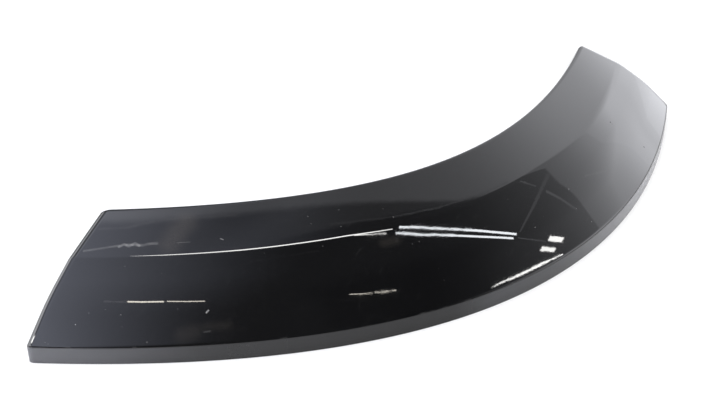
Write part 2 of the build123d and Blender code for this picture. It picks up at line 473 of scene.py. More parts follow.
def shell_patches(arch):
    """All sides of the moulded shell.

    The face is the section carried along the rim line between the two cuts, with a rounding at each. The cut
    itself runs from there to the way through it, and the same sections moved in by the wall make the inner
    side. The foot of the lip and the rim of the return close it.
    """
    z = arch.z
    rows = section_rows()

    def spots(at, inset, sharp):
        return arch.lift(at, arch.section(rows, at, inset, sharp)[0])

    face, facing = face_grid(arch)
    bent = np.isin(rows[0], (LIP_CORNER, CREST))
    patches = [patch(face, facing, edge=np.where(bent, np.sin(pi * rows[1]), 0.0)[:, None])]

    at = shares_between([arch.end_share(rows, z.wall, HOLLOW, right, z.wall) for right in SIDES], z.steps)
    for first, last in ((LIP, LIP), (LOWER, UPPER), (RETURN, RETURN)):
        some = np.isin(rows[0], np.arange(first, last + 1))
        some |= (rows[0] == last + 1) & (rows[1] == 0)
        zone = column(section_rows(first, last))
        spots_in, out_in = arch.section(zone, at[some], z.wall, HOLLOW)
        patches.append(patch(arch.lift(at[some], spots_in), -arch.swing(at[some], out_in), hidden=1.0))
    inside = arch.lift(at, arch.section(column(rows), at, z.wall, HOLLOW)[0])

    outer_chain, inner_chain = [face], [inside]
    for right in SIDES:
        last = -1 if right else 0
        inward = np.append(arch.right_in if right else arch.left_in, 0.0)
        step = np.linspace(0.0, 1.0, FILLET_STEPS + 1)
        ends, rounding, arc = end_rounding(arch, rows, right, step)
        rounding[:, 0] = face[:, last]
        # Slid up along the return, so that its rim stays at one depth round the end
        down = arch.swing(ends, np.broadcast_to(arch.down, (len(ends), 2)))
        past = (rounding[-1] - rounding[-1, 0]) @ down[-1]
        slide = np.where(rows[0] == RETURN, rows[1], 0.0)[:, None, None]
        rounding -= slide * past[None, :, None] * down[:, None]
        patches.append(patch(rounding, arc, edge=np.sin(pi * step)[None]))

        mouth = spots(arch.end_share(rows, z.end_return, MITRED, right, 0.0), z.end_return, MITRED)
        back = spots(arch.end_share(rows, z.end_return, MITRED, right, z.wall), z.end_return, MITRED)
        step = np.linspace(0.0, 1.0, CUT_STEPS + 1)[None, :, None]
        cut = rounding[:, -1:] * (1 - step) + mouth[:, None] * step
        patches.append(patch(cut, -inward))
        step = np.linspace(0.0, 1.0, CUT_STEPS + FILLET_STEPS)[None, :, None]
        behind = inside[:, last][:, None] * (1 - step) + back[:, None] * step
        patches.append(patch(behind, inward, hidden=1.0))
        through = np.stack([mouth, back], 1)
        patches.append(flat_patch(through, -arch.swing(ends, arch.section(rows, ends)[1])[:, None]))
        outward = np.concatenate([rounding[:, 1:], cut[:, 1:]], 1)
        returning = np.concatenate([behind[:, 1:], mouth[:, None]], 1)
        if right:
            outer_chain.append(outward)
            inner_chain.append(returning)
        else:
            outer_chain.insert(0, outward[:, ::-1])
            inner_chain.insert(0, returning[:, ::-1])

    outer_chain = np.concatenate(outer_chain, 1)
    inner_chain = np.concatenate(inner_chain, 1)
    patches.append(patch(np.stack([outer_chain[0], inner_chain[0]]), DOWN, hidden=1.0))
    patches.append(flat_patch(np.stack([outer_chain[-1], inner_chain[-1]]), DOWN))
    return patches


def rib_patches(arch, back):
    """Webs of even thickness that follow the section, from inside its wall to the rib's depth below it."""
    rows = section_rows()
    patches = []
    for at in RIB_SHARES:
        here = np.full(len(rows[0]), at)
        root = arch.lift(here, arch.section(rows, here, arch.z.wall / 2, MITRED)[0])
        foot = arch.lift(here, arch.section(rows, here, arch.z.wall + back.rib_depth, MITRED)[0])
        along = np.append(arch.rim(np.array(at))[1], 0.0) * back.rib_thickness / 2
        ring = np.stack([root - along, foot - along, foot + along, root + along], 1)
        inner = -arch.swing(here, arch.section(rows, here)[1])[:, None]
        patches.append(flat_patch(ring[:, 0:2], -along))
        patches.append(flat_patch(ring[:, 1:3], inner))
        patches.append(flat_patch(ring[:, 2:4], along))
        patches.append(flat_patch(ring[:, [3, 0]], -inner))
        for end in (ring[0], ring[-1]):
            patches.append(flat_patch(np.stack([end[:2], end[:1:-1]]), DOWN))
    return patches


def resample(chain, count):
    """Points spaced evenly along an open chain."""
    run = np.concatenate([[0.0], np.cumsum(np.linalg.norm(np.diff(chain, axis=0), axis=1))])
    where = np.linspace(0.0, run[-1], count)
    return np.stack([np.interp(where, run, chain[:, i]) for i in range(chain.shape[1])], -1)


def divided(corners, counts):
    """A chain through corners, with each of its sides divided into a number of even steps."""
    sides = [np.linspace(a, b, n, endpoint=False) for a, b, n in zip(corners, corners[1:], counts)]
    return np.concatenate(sides + [corners[-1:]])


def band(outer, inner, low, high, origin, x_axis, y_axis, z_axis):
    """A flat band between two open chains of points in a plane, with two faces, two edges and two ends.

    low and high are the levels of the faces along the plane's normal. high holds one for each chain, or one
    for each point of each chain.
    """
    def put(chain, level):
        level = np.broadcast_to(level, len(chain))[:, None]
        return origin + chain[:, :1] * x_axis + chain[:, 1:] * y_axis + level * z_axis

    low_out, low_in = put(outer, low), put(inner, low)
    high_out, high_in = put(outer, high[0]), put(inner, high[1])
    away = (low_out - low_in)[:, None]
    ends = [np.array([[low_out[i], low_in[i]], [high_out[i], high_in[i]]]) for i in (0, -1)]
    return [flat_patch(np.stack([low_out, low_in], 1), -z_axis),
            flat_patch(np.stack([high_out, high_in], 1), z_axis),
            flat_patch(np.stack([low_out, high_out], 1), away),
            flat_patch(np.stack([low_in, high_in], 1), -away),
            flat_patch(ends[0], low_out[0] - low_out[1]),
            flat_patch(ends[1], low_out[-1] - low_out[-2])]


# Steps of the sides of a tower's walls, of its seat's outline and of the round end of its keyhole
WALL_STEPS, SEAT_STEPS, HOLE_STEPS = (17, 22, 17), (4, 10, 14, 10, 4), 40
# Steps of the rounded corners of a screw tab, and of each side of its outline
TAB_CORNER_STEPS, TAB_SIDE_STEPS = 8, 3


def tower_patches(arch, back):
    """Clip towers: three upright walls that end inside the wall of the face, and a seat with a keyhole.

    The walls are a band between two U-shaped chains. The seat is a band between the outline of the tower and
    the keyhole, an arc about the hole's centre joined to the two sides of the slot.
    """
    half, deep, thick = back.tower_length / 2, back.tower_depth / 2, back.tower_wall
    slim, floor = half - thick, thick - deep
    wall_out = np.array([(half, deep), (half, -deep), (-half, -deep), (-half, deep)])
    wall_in = np.array([(slim, deep), (slim, floor), (-slim, floor), (-slim, deep)])
    walls = [divided(corners, WALL_STEPS) for corners in (wall_out, wall_in)]
    radius, slot = back.clip_hole / 2, back.clip_slot / 2
    opening = atan2((radius**2 - slot**2)**0.5, slot)
    turn = np.linspace(opening, -pi - opening, HOLE_STEPS + 1)
    hole = np.stack([radius * np.cos(turn), radius * np.sin(turn)], -1)
    keyhole = np.concatenate([[(slot, deep)], hole, [(-slot, deep)]])
    outline = divided(np.concatenate([[(slot, deep)], wall_out, [(-slot, deep)]]), SEAT_STEPS)
    level = back.seat_height + back.seat_thickness
    patches = []
    for at in CLIP_SHARES:
        point, along, side = arch.rim(np.array(at))
        plan = point + side * back.clip_inset
        plans = [plan + wall[:, :1] * along + wall[:, 1:] * side for wall in walls]
        tops = [arch.height(points, arch.z.wall / 2) for points in plans]
        axes = np.append(plan, 0.0), np.append(along, 0.0), np.append(side, 0.0), UP
        patches += band(*walls, back.seat_height, tops, *axes)
        patches += band(outline, keyhole, back.seat_height, (level, level), *axes)
    return patches


def tab_patches(arch, back):
    """Screw tabs: upright plates square to Y, each a band between a hole and an outline with rounded corners.

    Outline and hole are read at the same turns about the hole's centre, starting at the top.
    """
    half, drop, radius = back.tab_width / 2, back.tab_drop, back.tab_radius
    quarter = np.linspace(0.0, pi / 2, TAB_CORNER_STEPS + 1)
    right = np.stack([half - radius + radius * np.cos(quarter), radius - drop - radius * np.sin(quarter)], -1)
    left = right[::-1] * np.array([-1.0, 1.0])
    outline = np.concatenate([[(0.0, 0.0), (half, 0.0)], right, left, [(-half, 0.0), (0.0, 0.0)]])
    outline = divided(outline, [TAB_SIDE_STEPS] * (len(outline) - 1))
    centre = np.array([0.0, -back.tab_hole_drop])
    turn = np.unwrap(np.arctan2(outline[:, 0], outline[:, 1] - centre[1]))
    hole = centre + back.tab_hole / 2 * np.stack([np.sin(turn), np.cos(turn)], -1)
    reach, rise = arch.z.return_depth * arch.down
    level = arch.z.wall / 2
    patches = []
    for at in TAB_SHARES:
        point, _, side = arch.rim(np.array(at))
        plan = point + side * (arch.width(np.array(at)) + reach - level)
        origin = np.append(plan, arch.heights[3] + rise + level)
        # The outline closes on itself, so the band has no ends
        patches += band(outline, hole, -level, (level, level), origin, X_AXIS, UP, Y_AXIS)[:4]
    return patches


# Material

def node(tree, kind, inputs=None, **settings):
    """A node with its settings, and values or links on its inputs."""
    made = tree.nodes.new(kind)
    for key, value in settings.items():
        setattr(made, key, value)
    for key, value in (inputs or {}).items():
        if isinstance(value, bpy.types.NodeSocket):
            tree.links.new(value, made.inputs[key])
        else:
            made.inputs[key].default_value = value
    return made


def math(tree, operation, *values, clamp=False):
    """A number worked out from numbers."""
    made = node(tree, "ShaderNodeMath", dict(enumerate(values)), operation=operation, use_clamp=clamp)
    return made.outputs[0]


def vector(tree, operation, *values):
    """A vector sum, or the number that a dot product or a distance gives."""
    made = node(tree, "ShaderNodeVectorMath", dict(enumerate(values)), operation=operation)
    return made.outputs["Value" if operation in ("DOT_PRODUCT", "DISTANCE") else "Vector"]


def ramp(tree, value, start, stop, low, high, smooth=True):
    """A value carried from one range to another, held at both ends."""
    ranges = {"Value": value, "From Min": start, "From Max": stop, "To Min": low, "To Max": high}
    kind = "SMOOTHSTEP" if smooth else "LINEAR"
    return node(tree, "ShaderNodeMapRange", ranges, interpolation_type=kind).outputs["Result"]


def blend(tree, weight, first, second):
    """Colour between two colours."""
    colours = {i: value if isinstance(value, bpy.types.NodeSocket) else (*value, 1.0)
               for i, value in ((6, first), (7, second))}
    return node(tree, "ShaderNodeMix", {0: weight, **colours}, data_type="RGBA").outputs[2]


def between(tree, weight, first, second):
    """Number between two numbers."""
    return node(tree, "ShaderNodeMix", {0: weight, 2: first, 3: second}, data_type="FLOAT").outputs[0]


def combine(tree, operation, values):
    """Values taken together by one operation, from the first to the last."""
    found = values[0]
    for value in values[1:]:
        found = math(tree, operation, found, value)
    return found


def total(tree, *values):
    """Sum of values."""
    return combine(tree, "ADD", values)


def times(tree, *values):
    """Product of values."""
    return combine(tree, "MULTIPLY", values)


def weighed(tree, *pairs):
    """Sum of values, each times its weight."""
    return total(tree, *(times(tree, *pair) for pair in pairs))


def over(tree, value, start):
    """How far a value is over a start, and 0 below it."""
    return math(tree, "MAXIMUM", math(tree, "SUBTRACT", value, start), 0.0)


def numbers_of(tree, place):
    """The three numbers of a place or a direction."""
    return node(tree, "ShaderNodeSeparateXYZ", {0: place}).outputs


def emission(tree, tint, strength):
    """A glow of one tint."""
    return node(tree, "ShaderNodeEmission", {"Color": (*tint, 1.0), "Strength": strength}).outputs[0]


def diffuse(tree, tint):
    """A matt surface of one tint."""
    return node(tree, "ShaderNodeBsdfDiffuse", {"Color": (*tint, 1.0)}).outputs[0]


def both(tree, first, second):
    """Two shaders added up."""
    return node(tree, "ShaderNodeAddShader", {0: first, 1: second}).outputs[0]


def fresh_material(name):
    """A material and its tree of nodes, still empty."""
    material = bpy.data.materials.new(name)
    material.use_nodes = True
    material.node_tree.nodes.clear()
    return material, material.node_tree


# The camera and what it sees in the face

PHOTO_WIDTH, PHOTO_HEIGHT = 713, 409


class View:
    """The camera: its axes, and its rays through the pixels of a picture of the photo's size."""

    def __init__(self, look):
        self.place = np.array(look.place)
        level = np.array([cos(look.heading), sin(look.heading), 0.0])
        self.forward = level * cos(look.pitch) - np.array([0.0, 0.0, sin(look.pitch)])
        self.right = np.array([sin(look.heading), -cos(look.heading), 0.0])
        self.up = np.cross(self.right, self.forward)
        self.focus = look.lens / look.sensor * PHOTO_WIDTH

    def rays(self, pixels):
        """Directions from the camera through pixels."""
        across = (pixels[:, :1] - PHOTO_WIDTH / 2) / self.focus
        down = (pixels[:, 1:] - PHOTO_HEIGHT / 2) / self.focus
        return unit(self.forward + across * self.right - down * self.up)


class Mirror:
    """The face as the camera sees it: spots under pixels, and what they mirror."""

    def __init__(self, arch, view):
        self.arch, self.view = arch, view
        points, normals = face_grid(arch)
        self.points, self.normals = points.reshape(-1, 3), normals.reshape(-1, 3)
        self.cells = quads(np.arange(len(self.points)).reshape(points.shape[:2] + (1,)))[..., 0]
        self.tree = BVHTree.FromPolygons(self.points.tolist(), self.cells.tolist())

    def touch(self, pixels):
        """Spots of the face under pixels, with the normals there: those of the cell's corners, weighed."""
        spots, normals = [], []
        for pixel, ray in zip(pixels, self.view.rays(np.array(pixels, float))):
            spot, _, cell, _ = self.tree.ray_cast(self.view.place.tolist(), ray.tolist())
            if spot is None:
                raise RuntimeError("no face under pixel %s" % (pixel,))
            corners = self.cells[cell]
            weights = poly_3d_calc([Vector(point) for point in self.points[corners]], spot)
            spots.append(spot)
            normals.append(np.array(weights) @ self.normals[corners])
        return np.array(spots), unit(np.array(normals))

    def throw(self, spots, normals, height):
        """Points at a height that the camera sees mirrored in spots of the face."""
        ray = unit(spots - self.view.place)
        ray = ray - 2 * (ray * normals).sum(-1, keepdims=True) * normals
        return spots + ray * ((height - spots[:, 2:]) / ray[:, 2:])


# Marks of use on the face, and one painted highlight, by their pixels in the picture

# Scuff marks, with one painted highlight among them
# Strokes: the pixels they run through, their half width and soft edge in millimetres, and their weight
SCUFFS_AND_PAINTED_HIGHLIGHT = (
    (((84, 251.0), (100, 248.6), (119, 245.6)), 0.2, 1.0, 0.10),
    (((119, 246.8), (124, 244.4), (129, 246.4), (135, 243.2), (139, 245.6)), 0.35, 1.0, 0.16),
    (((127, 244.8), (143, 245.4), (149, 243.8), (157, 243.4)), 0.3, 1.2, 0.12),
    (((99, 229.0), (126, 227.8), (134, 226.0), (154, 221.6)), 0.1, 1.6, 0.025),
    (((158, 221.0), (174, 219.0), (203, 217.4), (235, 215.4)), 0.1, 1.4, 0.012),
    (((178, 242.8), (190, 242.0)), 0.1, 0.5, 0.07),
    (((206.4, 312.6), (208.4, 310.6)), 0.3, 0.4, 0.5),
    (((204, 332.0), (210, 331.2)), 0.0, 1.0, 0.08),
    (((220.5, 238.6), (223, 239.6)), 0.2, 0.4, 0.3),
    # Painted highlight: the faint left tail of a tube lamp's reflection, drawn as a pale stroke
    (((104, 301.5), (125, 302.0)), 0.1, 0.8, 0.05),
    (((250, 262.0), (318, 251.0)), 0.0, 0.5, 0.02),
    (((585, 176.0), (606, 171.0)), 0.0, 0.8, 0.05),
)
SMUDGES = (
    (((170, 244.0), (178, 231.0), (186, 223.0)), 1.0, 11.0, 0.09),
    (((183, 335.0), (193, 332.0)), 0.5, 8.0, 0.05),
    (((206, 327.0), (228, 325.0)), 0.2, 5.0, 0.035),
    (((396, 240.0), (384, 243.0)), 0.5, 5.0, 0.06),
)
# Specks: pixel, radius in millimetres, weight
SPECKS = (
    (75.4, 324.6, 0.45, 0.6), (120.8, 314.8, 0.4, 0.3), (88.8, 313.0, 0.35, 0.25), (147, 342.0, 0.4, 0.3),
    (45, 342.3, 0.35, 0.25), (48, 344.0, 0.3, 0.2), (105.4, 309.6, 0.4, 0.12), (177.7, 308.8, 0.4, 0.1),
    (125, 266.5, 0.5, 0.08), (162, 273.0, 0.4, 0.06), (307.7, 216.5, 0.5, 0.12), (310.8, 223.4, 0.4, 0.1),
    (338.8, 209.7, 0.6, 0.1), (341, 226.6, 0.6, 0.12), (322.8, 246.0, 0.4, 0.15), (419.2, 241.5, 0.5, 0.12),
    (264.6, 253.2, 0.4, 0.1), (383, 208.8, 0.5, 0.1), (393.4, 217.0, 0.5, 0.2), (568.7, 189.2, 0.5, 0.6),
    (591.7, 221.7, 0.5, 0.4), (535.3, 227.2, 0.5, 0.3), (576.3, 208.3, 0.5, 0.35),
)
# Dull spots on the bright end: pixel, radius in millimetres, weight
DULL_SPOTS = ((610.5, 122.2, 0.9, 0.6), (644.0, 147.0, 0.9, 0.6), (612.0, 124.0, 0.6, 0.4))
MILLIMETRE = 0.001
# Least square of a stroke's length, so that a stroke of one point can be divided by it
TINY = 1e-12

# Noises over the plastic: scale and detail
CLOUDS, PATCHES, FINE = (9.0, 4.0), (120.0, 3.0), (650.0, 2.0)
RIPPLE, NIBS, GRAIN = (80.0, 2.0), (1000.0, 1.0), (1400.0, 2.0)
RIPPLE_WEIGHT, NIBS_WEIGHT = 0.6, 0.08
# Ramps over these noises: where they start and stop, and the values there
VEIL_CLOUDS, VEIL_FINE = (0.4, 0.75, 0.1, 1.0), (0.5, 0.7, 0.1, 1.0)
SCUFF_AND_HIGHLIGHT_PATCHES, LIP_PAINTED_LIGHT_CLOUDS = (0.3, 0.6, 0.5, 1.0), (0.3, 0.7, 0.85, 1.0)
RUBBED_EDGES = (0.52, 0.68, 0.0, 1.0)
# Motes of dust: cells to the metre. Hairlines: turn in degrees, length and gap in metres
MOTE_CELLS = 150.0
HAIRLINES = ((-28.0, 0.16, 0.004), (9.0, 0.11, 0.006), (24.0, 0.07, 0.009))
# Spots in cells: distances at which they begin to fade and end, and the share of cells that has one
MOTE_SPOTS, HAIRLINE_SPOTS = (0.02, 0.05, 0.16), (0.02, 0.06, 0.25)
# Weights in the colour of the dust
VEIL_PALE, MOTES_PALE, HAIRLINES_PALE, RUBBED_PALE = 0.012, 0.12, 0.012, 0.05
# Painted light on the lip, lighter towards both ends as if lit from the sides: ramps along x, and up to the
# top of the lip along z
LIP_PAINTED_LIGHT_ALONG = ((-0.312, -0.19, 0.52, 0.0), (-0.2, -0.08, 0.05, 0.0), (-0.06, -0.015, 0.0, 0.19),
               (0.02, 0.2, 0.0, 0.9))
LIP_PAINTED_LIGHT_TOP = (0.0126, 0.0112, 0.0, 1.0)
# What each kind of wear, and the painted light on the lip, adds to the roughness, and how far gloss and
# satin stray from their own
VEIL_ROUGH, PALE_ROUGH, GRIME_ROUGH, LIP_PAINTED_LIGHT_ROUGH = 0.01, 0.5, 0.1, 0.25
GLOSS_CLOUDS, GLOSS_MORE = (0.3, 0.75), 0.006
SATIN_PATCHES, SATIN_LESS, SATIN_MORE = (0.3, 0.7), 0.05, 0.08
PLASTIC_IOR = 1.5


def stroke_group():
    """Mask of a stroke: 1 up to the inner distance from a line, 0 from the outer distance on.

    The line goes from a start along a step. The nearest point on it is the start plus a share of the step:
    the dot product of the way from the start with the pull, kept from 0 to 1.
    """
    group = bpy.data.node_groups.new("stroke", "ShaderNodeTree")
    for name in ("Place", "Start", "Step", "Pull"):
        group.interface.new_socket(name, in_out="INPUT", socket_type="NodeSocketVector")
    for name in ("Inner", "Outer"):
        group.interface.new_socket(name, in_out="INPUT", socket_type="NodeSocketFloat")
    group.interface.new_socket("Mask", in_out="OUTPUT", socket_type="NodeSocketFloat")
    given = node(group, "NodeGroupInput").outputs
    off = vector(group, "SUBTRACT", given["Place"], given["Start"])
    share_along = math(group, "ADD", vector(group, "DOT_PRODUCT", off, given["Pull"]), 0.0, clamp=True)
    nearest = node(group, "ShaderNodeVectorMath", {0: given["Step"], "Scale": share_along}, operation="SCALE")
    distance = vector(group, "DISTANCE", off, nearest.outputs["Vector"])
    mask = ramp(group, distance, given["Outer"], given["Inner"], 0.0, 1.0)
    node(group, "NodeGroupOutput", {"Mask": mask})
    return group


def stroke_mask(tree, group, place, mirror, marks):
    """Sum of strokes on the face, each times its weight."""
    masks = []
    for pixels, half, soft, weight in marks:
        spots = mirror.touch(pixels)[0]
        parts = []
        for start, stop in zip(spots, spots[1:] if len(spots) > 1 else spots):
            step = stop - start
            pull = step / max(step @ step, TINY)
            values = {"Place": place, "Start": start.tolist(), "Step": step.tolist(), "Pull": pull.tolist(),
                      "Inner": half * MILLIMETRE, "Outer": (half + soft) * MILLIMETRE}
            parts.append(node(tree, "ShaderNodeGroup", values, node_tree=group).outputs["Mask"])
        masks.append((combine(tree, "MAXIMUM", parts), weight))
    return weighed(tree, *masks)


def dots(spots):
    """Strokes of one point each, which fade out from half of their radius on."""
    return [(((x, y),), radius / 2, radius / 2, weight) for x, y, radius, weight in spots]


def noise(tree, place, scale, detail):
    """Noise from 0 to 1 over places."""
    values = {"Vector": place, "Scale": scale, "Detail": detail}
    return node(tree, "ShaderNodeTexNoise", values).outputs["Fac"]


def scattered(tree, cells, near, far, picked):
    """Spots at the points of a cell texture, in the share of its cells that is picked by their colour."""
    chance = node(tree, "ShaderNodeSeparateColor", {0: cells.outputs["Color"]}).outputs[0]
    spots = ramp(tree, cells.outputs["Distance"], far, near, 0.0, 1.0)
    return times(tree, spots, math(tree, "LESS_THAN", chance, picked))


def hairlines(tree, place, turn, run, gap):
    """Thin straight scratches: spots in cells as long as the run and as wide as the gap, seen in plan."""
    values = {"Vector": place, "Rotation": (0.0, 0.0, radians(turn)), "Scale": (run, gap, 1.0)}
    turned = node(tree, "ShaderNodeMapping", values, vector_type="TEXTURE").outputs["Vector"]
    cells = node(tree, "ShaderNodeTexVoronoi", {"Vector": turned, "Scale": 1.0}, voronoi_dimensions="2D")
    return scattered(tree, cells, *HAIRLINE_SPOTS)


def black_plastic(finish, mirror):
    """Worn gloss black.

    The gloss has a ripple, a thin veil of dust, specks, hairlines, scuff marks with one painted highlight
    among them, greasy smudges, dull spots, painted light on the lip that grows towards the ends, and bare
    spots along the edges. The hidden side is satin with a grain, as it left the mould.
    """
    material, tree = fresh_material(MATERIAL)
    place = node(tree, "ShaderNodeTexCoord").outputs["Object"]
    edge, hidden = (node(tree, "ShaderNodeAttribute", attribute_name=name).outputs["Fac"] for name in WEIGHTS)
    shown = math(tree, "SUBTRACT", 1.0, hidden)
    cloud, patches, fine = (noise(tree, place, *size) for size in (CLOUDS, PATCHES, FINE))
    group = stroke_group()
    scuffs_and_highlight, specks, smudges, dull = (stroke_mask(tree, group, place, mirror, marks)
                                     for marks in (SCUFFS_AND_PAINTED_HIGHLIGHT, dots(SPECKS), SMUDGES, dots(DULL_SPOTS)))

    veil = times(tree, ramp(tree, cloud, *VEIL_CLOUDS), ramp(tree, fine, *VEIL_FINE))
    cells = node(tree, "ShaderNodeTexVoronoi", {"Vector": place, "Scale": MOTE_CELLS})
    motes = scattered(tree, cells, *MOTE_SPOTS)
    scratches = total(tree, *(hairlines(tree, place, *sizes) for sizes in HAIRLINES))
    rubbed = ramp(tree, times(tree, edge, patches), *RUBBED_EDGES)
    # The scuff mask holds one painted highlight, drawn in the dust colour
    scuffs_and_highlight = times(tree, scuffs_and_highlight, ramp(tree, patches, *SCUFF_AND_HIGHLIGHT_PATCHES))
    pale = weighed(tree, (veil, VEIL_PALE), (motes, MOTES_PALE), (scratches, HAIRLINES_PALE),
                   (rubbed, RUBBED_PALE))
    pale = math(tree, "MULTIPLY", total(tree, pale, scuffs_and_highlight, specks), shown, clamp=True)
    grime = times(tree, smudges, shown)
    x, _, z = numbers_of(tree, place)
    # Painted light: the lip gets a pale colour and more roughness towards both ends, where light from the
    # sides falls
    towards_ends = total(tree, *(ramp(tree, x, *span) for span in LIP_PAINTED_LIGHT_ALONG))
    lip = times(tree, ramp(tree, z, *LIP_PAINTED_LIGHT_TOP), shown)
    lip_painted_light = times(tree, lip, towards_ends, ramp(tree, cloud, *LIP_PAINTED_LIGHT_CLOUDS))

    tone = blend(tree, pale, finish.black, finish.dust)
    tone = blend(tree, grime, tone, finish.grime)
    tone = blend(tree, lip_painted_light, tone, finish.painted_light_colour)
    gloss = ramp(tree, cloud, *GLOSS_CLOUDS, finish.gloss, finish.gloss + GLOSS_MORE)
    worn = weighed(tree, (veil, VEIL_ROUGH), (pale, PALE_ROUGH), (grime, GRIME_ROUGH), (lip_painted_light, LIP_PAINTED_LIGHT_ROUGH))
    satin = ramp(tree, patches, *SATIN_PATCHES, finish.satin - SATIN_LESS, finish.satin + SATIN_MORE)
    rough = between(tree, hidden, total(tree, worn, dull, gloss), satin)
    nibs = times(tree, noise(tree, place, *NIBS), NIBS_WEIGHT, shown)
    ripple = math(tree, "MULTIPLY_ADD", noise(tree, place, *RIPPLE), RIPPLE_WEIGHT, nibs)
    peel = node(tree, "ShaderNodeBump", {"Height": ripple, "Distance": finish.peel}).outputs[0]
    grain = times(tree, noise(tree, place, *GRAIN), hidden)
    bump = node(tree, "ShaderNodeBump", {"Height": grain, "Distance": finish.grain, "Normal": peel})
    values = {"Base Color": tone, "Roughness": rough, "IOR": PLASTIC_IOR, "Normal": bump.outputs[0]}
    shader = node(tree, "ShaderNodeBsdfPrincipled", values)
    node(tree, "ShaderNodeOutputMaterial", {"Surface": shader.outputs[0]})
    return material


# Stage

# What the camera and reflections see of the floor: a part that takes shadows, and a glow
FLOOR_PART, FLOOR_GLOW = (0.3, 0.3, 0.3), 0.7
CEILING_X, CEILING_Y = (-5.0, 40.0), (-6.0, 3.0)
COOL, WHITE, WARM = (0.93, 0.96, 1.0), (1.0, 0.99, 0.97), (1.0, 0.94, 0.83)
LEFT_TINT, PLAIN_TINT = (0.91, 0.96, 1.17), (0.98, 0.99, 1.04)

# The ceiling's light over its plan. A line is a weight of x, a weight of y and a shift. A ramp is where it
# starts and stops, and the strengths there.
LEFT_LINE, LEFT_RISE, LEFT_STRENGTH = (-0.656, 0.755, -0.206), (-0.5, 0.5, 0.0, 1.05), 2.2
LEFT_DIP = (0.33, 0.43, 0.0, 0.36)
# The far side: its front is a parabola about a turn in x, straight from a stop on
FAR_TURN, FAR_STOP, FAR_LINE = 0.93, 2.05, (-0.165, 1.0, -0.218)
FAR_STEP, FAR_STEP_LEVEL = (-0.006, 0.006), (0.05, 0.35, 0.0, 0.19)
# Its second step, to the left of a start in x: how far behind the first and how soft, per metre and least
SECOND_START, SECOND_LAG, SECOND_SOFT = 1.2, (0.065, 0.005), (0.004, 0.007)
SECOND_SOFT_RIGHT = (1.9, 2.6, 0.0, 0.14)
SECOND_LEVELS = ((1.2, 2.5, 0.62, 1.0), (2.5, 4.2, 0.0, -0.65), (0.25, -0.3, 0.0, 0.5))
# The back, at which left and far side fade: it slants away from a place in x on
BACK_START, BACK_SLANT, BACK_FADE = 1.0, -0.6, (0.75, 1.3, 1.0, 0.2)
RIGHT_START, RIGHT_POWER, RIGHT_STRENGTH, RIGHT_MOST = 0.55, 1.5, 0.24, 2.55
RIGHT_DEEPER = ((-0.7, 0.6, 0.8, 1.12), (1.0, 1.9, 0.0, -0.15))
RIGHT_LINE, RIGHT_STEP = (0.7, 1.0, -1.64), (-0.03, 0.03, 0.0, 0.5)
# Behind the left side: a dark gap, and a bright corner
CORNER_LINE, GAP_FALL = (-0.82, 1.0, -0.883), (0.95, 1.2, 1.0, 0.15)
CORNER_RISE, CORNER_LEFT = (1.4, 1.7, 0.0, 6.0), (-0.05, -0.35, 0.0, 1.0)
BASE, FRONT_ACROSS, FRONT_ALONG = (1.0, 1.8, 0.13, 0.2), (-0.3, -0.05, 0.0, -0.05), (-0.45, -0.9, 0.0, 1.0)

# The walls' light: ramps over the direction's x for the right and the left, and over its y for the left
RIGHT_WALL, LEFT_WALL, LEFT_BACK = (0.4, 0.95, 0.2, 3.4), (0.1, -0.25, 0.0, 2.6), (-0.2, 0.3, 0.0, 1.0)


def floor_material(tint):
    """Pale floor. To the camera and in reflections it glows a little, so that it is white with a shadow."""
    material, tree = fresh_material("pale_floor")
    path = node(tree, "ShaderNodeLightPath").outputs
    rays = [path[name] for name in ("Is Camera Ray", "Is Glossy Ray", "Is Transmission Ray")]
    pale = both(tree, diffuse(tree, FLOOR_PART), emission(tree, (1.0, 1.0, 1.0), FLOOR_GLOW))
    seen = {0: combine(tree, "MAXIMUM", rays), 1: diffuse(tree, tint), 2: pale}
    mixed = node(tree, "ShaderNodeMixShader", seen)
    node(tree, "ShaderNodeOutputMaterial", {"Surface": mixed.outputs[0]})
    return material


def slope(tree, x, y, across, along, shift):
    """across times x, plus along times y, plus shift."""
    return math(tree, "ADD", math(tree, "MULTIPLY_ADD", x, across, math(tree, "MULTIPLY", y, along)), shift)


